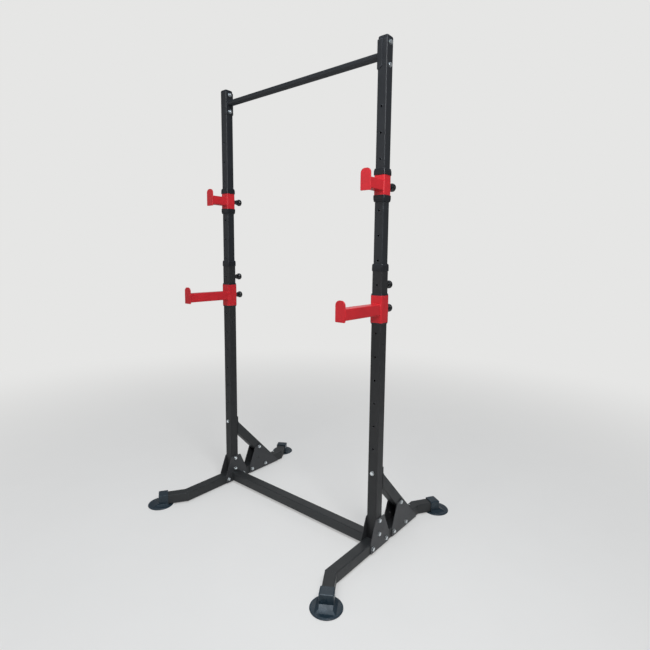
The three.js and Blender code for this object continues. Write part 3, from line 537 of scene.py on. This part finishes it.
BAR_RADIUS = 16 * mm
BAR_WALL = 2.5 * mm
BAR_BELOW_TOP = 56 * mm
FLANGE = 23 * mm  # the channel's two sides end this far short of the upright's outer face
FLANGE_CUT = 12 * mm  # and their lower corners are cut off slantwise over this much
CHANNEL_WALL = 2.9 * mm
bar_low, bar_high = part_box("pull_up_bar")
bar_height = bar_high.z - BAR_BELOW_TOP
web_face = stand_x - UPPER_HALF - 3.3 * mm
bar = bmesh.new()
turned(bar, [(BAR_RADIUS - BAR_WALL, -web_face), (BAR_RADIUS, -web_face), (BAR_RADIUS, web_face),
             (BAR_RADIUS - BAR_WALL, web_face), (BAR_RADIUS - BAR_WALL, -web_face)], 64)
piece("bar_tube", bar, smooth_coat, "upper_frame",
      Matrix.Translation((0, stand_y, bar_height)) @ turn_to((1, 0, 0)), ["pull_up_bar"])

for name, side in SIDES.items():
    channel = bmesh.new()
    inner = UPPER_HALF + 0.3 * mm
    flange_end = UPPER_HALF - FLANGE
    ends = [(flange_end, -inner), (-inner, -inner), (-inner, inner), (flange_end, inner)]
    corners = [channel.verts.new((x, y, bar_low.z)) for x, y in ends]
    bend = [channel.edges.new(pair) for pair in zip(corners, corners[1:])]
    raised = bmesh.ops.extrude_edge_only(channel, edges=bend)["geom"]
    lifted = [part for part in raised if isinstance(part, bmesh.types.BMVert)]
    bmesh.ops.translate(channel, vec=(0, 0, bar_high.z - bar_low.z), verts=lifted)
    bmesh.ops.bisect_plane(channel, geom=channel.verts[:] + channel.edges[:] + channel.faces[:],
                           plane_co=(flange_end - FLANGE_CUT, 0, bar_low.z), plane_no=(1, 0, -1),
                           clear_outer=True)
    uprights = [edge for edge in channel.edges
                if all(abs(vert.co.x + inner) < 1e-6 for vert in edge.verts)
                and abs(edge.verts[0].co.z - edge.verts[1].co.z) > 50 * mm]
    bmesh.ops.bevel(channel, geom=uprights, offset=1.5 * mm, offset_type="OFFSET", segments=4,
                    profile=0.5, affect="EDGES", clamp_overlap=True, material=-1)
    # Made for the right stand; the left one's is its mirror image
    place = Matrix.Translation((side * stand_x, stand_y, 0)) @ Matrix.Scale(side, 4, (1, 0, 0))
    piece(f"channel_{name}", channel, smooth_coat, "upper_frame", place,
          ["pull_up_bar"], wall=CHANNEL_WALL, wall_side=1)

    bead = bmesh.new()
    place = Matrix.Translation((side * (web_face - 0.4 * mm), stand_y, bar_height))
    weld(bead, place @ turn_to((1, 0, 0)), 33 * mm, 33 * mm, 16.5 * mm, BEAD)
    piece(f"bar_weld_{name}", bead, smooth_coat, "upper_frame")

# J-cups
# A sleeve of 2.5 mm wall, a 45 mm arm and a 5 mm hook plate, MIG welded into one carriage and
# powder coated red. The bush that the pull pin runs in is black and is fixed on behind.

# Signal red powder, glossier than the charcoal, paler on its edges where it thins and where a
# painted highlight lies
red_coat = powder_coat("signal red powder coat", "#c81f29", "#f0606a", 0.34, 1.8 * mm, 1.2 * mm)
PLATE = 5 * mm
PLATE_TOP_CORNER = 20 * mm
PLATE_FOOT_CORNER = 4 * mm


def end_plate(shape, width, below, height):
    """A 5 mm plate with small corners at its foot, large ones at its top and eased rims."""
    old = set(shape.verts)
    square = bmesh.ops.create_grid(shape, x_segments=1, y_segments=1, size=0.5)["verts"]
    bmesh.ops.scale(shape, vec=(width, height, 1), verts=square)
    bmesh.ops.translate(shape, vec=(0, height / 2 - below, 0), verts=square)
    for way, corner, segments in ((1, PLATE_TOP_CORNER, 10), (-1, PLATE_FOOT_CORNER, 5)):
        ends = [vert for vert in shape.verts if vert not in old and vert.co.y * way > 0]
        bmesh.ops.bevel(shape, geom=ends, offset=corner, offset_type="OFFSET", segments=segments,
                        profile=0.5, affect="VERTICES", clamp_overlap=True, material=-1)
    outline = [face for face in shape.faces if face.verts[0] not in old]
    risen = bmesh.ops.extrude_face_region(shape, geom=outline)["geom"]
    lifted = [part for part in risen if isinstance(part, bmesh.types.BMVert)]
    bmesh.ops.translate(shape, vec=(0, 0, PLATE), verts=lifted)
    rims = [edge for edge in shape.edges
            if edge.verts[0] not in old and edge.verts[1] not in old
            and abs(edge.verts[0].co.z - edge.verts[1].co.z) < 1e-9]
    bmesh.ops.bevel(shape, geom=rims, offset=0.9 * mm, offset_type="OFFSET", segments=3,
                    profile=0.5, affect="EDGES", clamp_overlap=True, material=-1)


def square_sleeve(shape, width, wall, corner, bottom, top):
    """A short square tube with eased ends."""
    eased = 0.7 * mm
    bore = (width - 2 * wall, width - 2 * wall, corner - wall)
    mouth = (width - 2 * eased, width - 2 * eased, corner - eased)
    outside = (width, width, corner)
    walls(shape, [(*bore, bottom), (*mouth, bottom), (*outside, bottom + eased),
                  (*outside, top - eased), (*mouth, top), (*bore, top)], ends="back")


def square_arm(shape, width, length):
    """A closed square bar that stands on the origin."""
    walls(shape, [(width, width, TUBE_CORNER, 0), (width, width, TUBE_CORNER, length)],
          ends="closed")


def pin_bush(name, x, face, length, height, body, stands_for):
    """The threaded bush that the pull pin runs in, 22 mm across, along +y from a face; `length`
    is in millimetres."""
    bush = bmesh.new()
    turned(bush, in_mm((5.6, 0), (11, 0), (11, length - 2.4), (10.5, length - 1.2),
                       (9, length - 0.1), (6.1, length - 0.1), (5.6, length - 0.6), (5.6, 0)), 32)
    place = Matrix.Translation((x, stand_y + face, height)) @ turn_to((0, 1, 0))
    piece(name, bush, smooth_coat, body, place, [stands_for])


def carriage_welds(name, x, height, sleeve_half, arm, arm_middle, plate_face, body):
    """The three welds of a carriage: arm to sleeve, arm to end plate, housing to sleeve."""
    seam = bmesh.new()
    around = arm + 0.6 * mm
    for face in (-sleeve_half - BEAD_OFF, plate_face + BEAD_OFF):
        place = Matrix.Translation((x, stand_y + face, height + arm_middle))
        weld(seam, place @ turn_to((0, 1, 0)), around, around, TUBE_CORNER, 1.9 * mm)
    place = Matrix.Translation((x, stand_y + sleeve_half + BEAD_OFF, height))
    weld(seam, place @ turn_to((0, 1, 0)), HOUSING_BEAD, HOUSING_BEAD, HOUSING_BEAD / 2, 1.5 * mm)
    piece(name, seam, red_coat, body)


def lay_along_y(shape, old, face, height):
    """Takes what was built upwards since `old` and lays it down along -y from a face."""
    made = [vert for vert in shape.verts if vert not in old]
    place = Matrix.Translation((0, face, height)) @ Matrix.Rotation(math.pi / 2, 4, "X")
    bmesh.ops.transform(shape, matrix=place, verts=made)


J_CUP_HEIGHT = LOCK_HEIGHT + 4 * HOLE_PITCH
J_SLEEVE = 52 * mm
J_ARM = 45 * mm
J_ARM_MIDDLE = -2 * mm
J_PLATE_FACE = -120 * mm
for name, side in SIDES.items():
    cup = bmesh.new()
    square_sleeve(cup, J_SLEEVE, 2.5 * mm, 5 * mm, -49.5 * mm, 49 * mm)
    old = set(cup.verts)
    square_arm(cup, J_ARM, 93.8 * mm)
    lay_along_y(cup, old, -26.1 * mm, J_ARM_MIDDLE)
    old = set(cup.verts)
    end_plate(cup, 50 * mm, 33 * mm, 88 * mm)
    lay_along_y(cup, old, J_PLATE_FACE, 0)
    x = side * stand_x
    body = f"j_cup_{name}"
    piece(f"j_cup_carriage_{name}", cup, red_coat, body,
          Matrix.Translation((x, stand_y, J_CUP_HEIGHT)), [f"j_cup_{name}"])
    pin_bush(f"j_cup_bush_{name}", x, 26.1 * mm, 31.9, J_CUP_HEIGHT, body, f"j_cup_{name}")
    carriage_welds(f"j_cup_welds_{name}", x, J_CUP_HEIGHT, J_SLEEVE / 2, J_ARM, J_ARM_MIDDLE,
                   J_PLATE_FACE, body)

# J-cup collars
# Moulded nylon collars lapped over both ends of the J-cup's sleeve; they narrow to the upper tube
# and keep its coat from being scratched.

COLLAR = [(55.8, 5.4, 0), (56.8, 5.9, 0.7), (57, 6, 2), (56.8, 6, 12), (56.4, 5.8, 16.4),
          (54.8, 5.4, 20.5), (52.6, 5, 25), (51.9, 4.8, 26.4), (50.6, 4.4, 27)]
COLLAR_BORE = [(45.8, 3.6, 27), (45.7, 3.5, 8.4), (52.7, 5, 8.3), (52.7, 5, 0)]
for name, side in SIDES.items():
    for end, way in (("upper", 1), ("lower", -1)):
        node = f"j_cup_collar_{end}_{name}"
        low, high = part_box(node)
        collar = bmesh.new()
        walls(collar, square_levels(COLLAR + COLLAR_BORE, low.z if way > 0 else high.z, way),
              ends="back")
        piece(f"collar_{end}_{name}", collar, black_nylon, f"j_cup_{name}",
              Matrix.Translation((side * stand_x, stand_y, 0)), [node], crease=50)

# Spotter arms
# A heavier red carriage on the lower tube: 3.6 mm sleeve, 47 mm arm, 5 mm end plate with a rounded
# top. The nylon liner's flanges stand out at both ends of the sleeve; small studs hold it.

SPOTTER_HEIGHT = LOCK_HEIGHT - HOLE_PITCH
SPOTTER_SLEEVE = 58 * mm
SPOTTER_ARM = 47 * mm
SPOTTER_PLATE_FACE = -275 * mm
SLEEVE_TOP = 60.5 * mm
SLEEVE_BOTTOM = -58 * mm
STUD = in_mm((0, 1.3), (1.2, 1.2), (2.3, 0.8), (3, 0.1), (3, -0.4), (0, -0.4))


def liner_section(proud):
    """The liner at one end of the sleeve, from its lap inside to the flange that stands `proud`
    millimetres out of it."""
    return [(50.6, 3.9, -4), (50.6, 3.9, 0.1), (55.8, 5, 0.1), (56.2, 5.2, 0.6), (56, 5.2, 1.8),
            (54.4, 5, proud - 0.9), (53.6, 4.8, proud - 0.2), (52.6, 4.6, proud),
            (51.2, 4.2, proud), (50.78, 4, proud - 0.4)]


for name, side in SIDES.items():
    arm = bmesh.new()
    square_sleeve(arm, SPOTTER_SLEEVE, 3.6 * mm, 6 * mm, SLEEVE_BOTTOM, SLEEVE_TOP)
    old = set(arm.verts)
    square_arm(arm, SPOTTER_ARM, 245.8 * mm)
    lay_along_y(arm, old, -29.1 * mm, 0)
    old = set(arm.verts)
    end_plate(arm, 48 * mm, 31 * mm, 87 * mm)
    lay_along_y(arm, old, SPOTTER_PLATE_FACE, 0)
    x = side * stand_x
    body = f"spotter_{name}"
    node = f"spotter_arm_{name}"
    place = Matrix.Translation((x, stand_y, SPOTTER_HEIGHT))
    piece(f"spotter_carriage_{name}", arm, red_coat, body, place, [node])
    pin_bush(f"spotter_bush_{name}", x, 29.1 * mm, 25.9, SPOTTER_HEIGHT, body, node)
    carriage_welds(f"spotter_welds_{name}", x, SPOTTER_HEIGHT, SPOTTER_SLEEVE / 2, SPOTTER_ARM, 0,
                   SPOTTER_PLATE_FACE, body)

    liner = bmesh.new()
    walls(liner, square_levels(liner_section(8), SLEEVE_TOP), ends="back")
    walls(liner, square_levels(liner_section(5.5), SLEEVE_BOTTOM, -1), ends="back")
    piece(f"spotter_liner_{name}", liner, black_nylon, body, place, crease=50)

    studs = bmesh.new()
    for way in (1, -1):
        for height in (-50 * mm, 50 * mm):
            spot = Matrix.Translation((way * SPOTTER_SLEEVE / 2, 0, height))
            bmesh.ops.transform(studs, verts=turned(studs, STUD, 20),
                                matrix=spot @ turn_to((way, 0, 0)))
    piece(f"spotter_studs_{name}", studs, red_coat, body, place)

# Pull pins
# Six sprung pull pins: a zinc-plated plunger in the welded housing, with a round moulded knob.
# The knob is glossier than the other plastic, worn smooth by hands.

# Black phenolic, polished by hands
knob_plastic = moulded("polished phenolic knob", "#101215", "#44484f", 0.24, 1.2 * mm, 0.6 * mm)


def plated(name, full, shaded, roughness):
    """Bright zinc plate: soft blue-grey metal with small clouds in its shine and fine scratches."""
    material, tree, place = bare_material(name)
    clouds = add(tree, "ShaderNodeTexNoise", {"Scale": 1 / (6 * mm), "Detail": 3.0},
                 {"Vector": place})
    # Scratches a millimetre apart, drawn coarse so that they show
    stretched = add(tree, "ShaderNodeMapping",
                    {"Rotation": (0.4, 0.9, 0.2), "Scale": (1.0, 1.0, 9.0)}, {"Vector": place})
    scratches = add(tree, "ShaderNodeTexNoise", {"Scale": 1 / (1.2 * mm), "Detail": 4.0},
                    {"Vector": stretched.outputs["Vector"]})
    tone = add(tree, "ShaderNodeMix", {"data_type": "RGBA", 6: colour(full), 7: colour(shaded)},
               {0: clouds.outputs["Fac"]})
    shine = add(tree, "ShaderNodeMapRange",
                {"From Min": 0.3, "From Max": 0.7,
                 "To Min": roughness - 0.07, "To Max": roughness + 0.1},
                {"Value": clouds.outputs["Fac"]})
    rounded = add(tree, "ShaderNodeBevel", {"samples": 4, "Radius": 0.4 * mm}).outputs["Normal"]
    scratched = add(tree, "ShaderNodeBump", {"Strength": 0.3, "Distance": 0.02 * mm},
                    {"Height": scratches.outputs["Fac"], "Normal": rounded})
    metal = add(tree, "ShaderNodeBsdfPrincipled", {"Metallic": 1.0},
                {"Base Color": tone.outputs[2], "Roughness": shine.outputs["Result"],
                 "Normal": scratched.outputs["Normal"]})
    add(tree, "ShaderNodeOutputMaterial", None, {"Surface": metal.outputs["BSDF"]})
    return material


zinc = plated("bright zinc plate", "#f0f4f5", "#d8dee1", 0.3)
KNOB_LENGTH = 27 * mm
KNOB = in_mm((5, 4), (5, 0.3), (12.6, 0.2), (13.3, 0.8), (13.5, 7), (14.1, 9.4), (15.5, 11.4),
             (17.1, 13), (17.8, 14.6), (18, 16.4), (18, 21.6), (17.5, 23.4), (16.2, 25.2),
             (14.4, 26.4), (12, 27), (9.2, 26.9), (8.2, 26.3), (0, 25.9), (0, 4), (5, 4))
PLUNGER_RADIUS = 4.9 * mm
PLUNGER_END = 3.9 * mm  # inside the knob
NOSE = 0.9 * mm
for name, side in SIDES.items():
    for pin in ("height_lock", "j_cup", "spotter"):
        node = f"{pin}_knob_{name}"
        body = f"{pin}_pin_{name}"
        low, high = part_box(node)
        seat = high.y - KNOB_LENGTH
        place = Matrix.Translation((side * stand_x, seat, (low.z + high.z) / 2))
        place = place @ turn_to((0, 1, 0))
        knob = bmesh.new()
        turned(knob, KNOB, 48)
        piece(f"{pin}_pull_knob_{name}", knob, knob_plastic, body, place, [node])
        plunger = bmesh.new()
        tip = low.y - seat
        turned(plunger, [(0, tip), (PLUNGER_RADIUS - NOSE, tip), (PLUNGER_RADIUS, tip + NOSE),
                         (PLUNGER_RADIUS, PLUNGER_END), (0, PLUNGER_END)], 28)
        piece(f"{pin}_plunger_{name}", plunger, zinc, body, place, [node])

# Bolts
# Twenty M10 hexagon bolts in bright zinc, each with a plain washer at both ends, a nut and a few
# turns of thread past it, and a small pan-head screw on top of each leg behind the brace.

BOLT_ACROSS = 16 * mm
HEAD_SEAT = 7.1 * mm  # from the head's top down to its washer's seat
NUT_SEAT = 11 * mm  # from the bolt's end up to the nut's washer's seat
NUT = 6.5 * mm
WASHER = 1.5 * mm
THREAD_PITCH = 1.5 * mm
THREAD_ROOT = 4.3 * mm
THREAD_CREST = 5 * mm
SHANK = 4.9 * mm
SCREW = in_mm((0, -0.3), (3.6, -0.3), (3.7, 0.6), (3.2, 1.7), (2.2, 2.3), (1.2, 2.4), (0.9, 1.5),
              (0, 1.4))
SCREW_ASIDE = 14 * mm
SCREW_BEHIND = 354 * mm


def hex_block(shape, bottom, top, chamfer):
    """A hexagon with its corners turned off at both ends."""
    made = bmesh.ops.create_circle(shape, cap_ends=True, segments=6,
                                   radius=BOLT_ACROSS / math.sqrt(3))["verts"]
    bmesh.ops.translate(shape, vec=(0, 0, bottom + chamfer / 2), verts=made)
    risen = bmesh.ops.extrude_face_region(shape, geom=list(made[0].link_faces))["geom"]
    lifted = [part for part in risen if isinstance(part, bmesh.types.BMVert)]
    bmesh.ops.translate(shape, vec=(0, 0, top - bottom - chamfer), verts=lifted)
    top_face = [part for part in risen if isinstance(part, bmesh.types.BMFace)]
    bmesh.ops.inset_region(shape, faces=top_face, thickness=chamfer, depth=chamfer / 2,
                           use_even_offset=True)


for name, side in SIDES.items():
    for bolt in ("gusset_upper", "gusset_middle", "gusset_front", "gusset_rear", "bracket_front",
                 "bracket_rear", "bracket_brace", "channel_upper", "channel_lower", "brace_top"):
        node = f"bolt_{bolt}_{name}"
        low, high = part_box(node)
        middle = (low + high) / 2
        # Only the bolt at the brace's top goes in from the front; the others from outside
        if bolt == "brace_top":
            head, tail = -low.y, -high.y
            place = Matrix.Translation((middle.x, 0, middle.z)) @ turn_to((0, -1, 0))
        else:
            head, tail = (high.x, low.x) if side > 0 else (-low.x, -high.x)
            place = Matrix.Translation((0, middle.y, middle.z)) @ turn_to((side, 0, 0))
        bolt_set = bmesh.new()
        head_seat = head - HEAD_SEAT
        nut_top = tail + NUT_SEAT - WASHER
        hex_block(bolt_set, head_seat + WASHER, head - 0.1 * mm, 1.5 * mm)
        hex_block(bolt_set, nut_top - NUT, nut_top, 1.2 * mm)
        for bottom in (head_seat, nut_top):
            turned(bolt_set, [
                (5.2 * mm, bottom), (9.6 * mm, bottom), (9.9 * mm, bottom + 0.3 * mm),
                (9.9 * mm, bottom + 1.2 * mm), (9.6 * mm, bottom + WASHER),
                (5.2 * mm, bottom + WASHER), (5.2 * mm, bottom)], 36)
        thread = [(0, tail), (4 * mm, tail), (THREAD_ROOT, tail + 0.4 * mm)]
        for turn in range(7):
            along = tail + 0.5 * mm + turn * THREAD_PITCH
            thread += [(THREAD_ROOT, along), (THREAD_CREST, along + 0.7 * mm)]
        thread += [(SHANK, tail + 11.5 * mm), (SHANK, head_seat + 2 * mm),
                   (0, head_seat + 2 * mm)]
        turned(bolt_set, thread, 24)
        body = "upper_frame" if bolt.startswith("channel") else "base_frame"
        piece(f"{bolt}_bolt_{name}", bolt_set, zinc, body, place, [node], crease=30)

for name, side in SIDES.items():
    screw = bmesh.new()
    turned(screw, SCREW, 24)
    place = Matrix.Translation((side * stand_x - SCREW_ASIDE, stand_y + SCREW_BEHIND,
                                LEG_MIDDLE + TUBE / 2))
    piece(f"leg_screw_{name}", screw, zinc, "base_frame", place)

# Floor
# A plain pale studio floor, which isn't part of the stand; it fades into the pale room behind.
# Painted screed: a faint mottle over a matt coat.

floor = bmesh.new()
bmesh.ops.create_circle(floor, cap_ends=True, segments=96, radius=60)
floor_mesh = bpy.data.meshes.new("studio_floor")
floor.to_mesh(floor_mesh)
floor.free()
floor_object = bpy.data.objects.new("studio_floor", floor_mesh)
bpy.context.scene.collection.objects.link(floor_object)
floor_paint, tree, place = bare_material("pale floor paint")
mottle = add(tree, "ShaderNodeTexNoise", {"Scale": 1 / 0.25, "Detail": 3.0}, {"Vector": place})
paint = add(tree, "ShaderNodeMix",
            {"data_type": "RGBA", 6: colour("#edecea"), 7: colour("#f2f1ef")},
            {0: mottle.outputs["Fac"]})
matt = add(tree, "ShaderNodeBsdfPrincipled", {"Roughness": 0.85, "Specular IOR Level": 0.2},
           {"Base Color": paint.outputs[2]})
# From 0.8 to 4.5 m off, what the camera sees of the floor turns to the room's own tone
away = add(tree, "ShaderNodeVectorMath", {"operation": "LENGTH"}, {0: place})
far = add(tree, "ShaderNodeMapRange",
          {"interpolation_type": "SMOOTHSTEP", "From Min": 0.8, "From Max": 4.5,
           "To Min": 0.45, "To Max": 1.0}, {"Value": away.outputs["Value"]})
ray = add(tree, "ShaderNodeLightPath")
seen = add(tree, "ShaderNodeMath", {"operation": "MULTIPLY"},
           {0: far.outputs["Result"], 1: ray.outputs["Is Camera Ray"]})
ROOM_TONE = colour("#e6e6e5")
pale = add(tree, "ShaderNodeEmission", {"Color": ROOM_TONE, "Strength": 1.0})
faded = add(tree, "ShaderNodeMixShader", None,
            {0: seen.outputs["Value"], 1: matt.outputs["BSDF"], 2: pale.outputs["Emission"]})
add(tree, "ShaderNodeOutputMaterial", None, {"Surface": faded.outputs["Shader"]})
floor_mesh.materials.append(floor_paint)

# Light
# A pale room and five soft lamps: a near key beside the right stand, a high front one, a weak
# fill before the left stand, a bluish one overhead and one behind.

scene = bpy.context.scene
world = bpy.data.worlds.new("pale room")
scene.world = world
world.use_nodes = True
tree = world.node_tree
tree.nodes.clear()
ray = add(tree, "ShaderNodeLightPath")
shown = add(tree, "ShaderNodeMath", {"operation": "MAXIMUM"},
            {0: ray.outputs["Is Camera Ray"], 1: ray.outputs["Is Transmission Ray"]})
seen = add(tree, "ShaderNodeBackground", {"Color": ROOM_TONE, "Strength": 1.0})
lit = add(tree, "ShaderNodeBackground", {"Color": colour("#f2f4f8"), "Strength": 0.24})
both = add(tree, "ShaderNodeMixShader", None,
           {0: shown.outputs["Value"], 1: lit.outputs["Background"],
            2: seen.outputs["Background"]})
add(tree, "ShaderNodeOutputWorld", None, {"Surface": both.outputs["Shader"]})

# Name, place, watts, width and tint
LAMPS = (("key", (1.8, -1.0, 2.35), 25, 0.7, (1.0, 0.99, 0.98)),
         ("front", (0.6, -2.7, 4.0), 42, 1.6, (1.0, 1.0, 1.0)),
         ("fill", (-2.2, -3.0, 2.0), 10, 2.4, (1.0, 1.0, 1.0)),
         ("overhead", (0.9, -0.9, 4.2), 38, 1.8, (0.75, 0.88, 1.0)),
         ("back", (-1.8, 2.9, 3.0), 13, 2.4, (1.0, 1.0, 1.0)))
LIT_POINT = Vector((0, 0, 1.05))
for name, place, watts, width, tint in LAMPS:
    lamp = bpy.data.lights.new(name, "AREA")
    lamp.energy = watts
    lamp.color = tint
    lamp.size = width
    holder = bpy.data.objects.new(name, lamp)
    holder.location = place
    holder.rotation_euler = (LIT_POINT - Vector(place)).to_track_quat("-Z", "Y").to_euler()
    holder.visible_camera = False
    scene.collection.objects.link(holder)

scene.view_settings.view_transform = "Standard"

# Camera
# Stands off the right stand's front corner at chest height, where the photograph was taken.
# It looks slightly down and is rolled by half a degree.

yaw, pitch, roll = math.radians(39.57), math.radians(7.09), math.radians(0.57)
back = Vector((math.sin(yaw) * math.cos(pitch), -math.cos(yaw) * math.cos(pitch),
               math.sin(pitch)))
right = Vector((math.cos(yaw), math.sin(yaw), 0))
up = back.cross(right)
across = math.cos(roll) * right + math.sin(roll) * up
above = math.cos(roll) * up - math.sin(roll) * right
camera = bpy.data.cameras.new("photograph")
camera.sensor_width = 36
camera.lens = 25.785
camera.shift_x = -0.00083
camera.shift_y = -0.01655
stand_in = bpy.data.objects.new("photograph", camera)
turned_to = Matrix((across, above, back)).transposed().to_4x4()
stand_in.matrix_world = Matrix.Translation((1.61459, stand_y - 1.70467, 1.34304)) @ turned_to
scene.collection.objects.link(stand_in)
scene.camera = stand_in
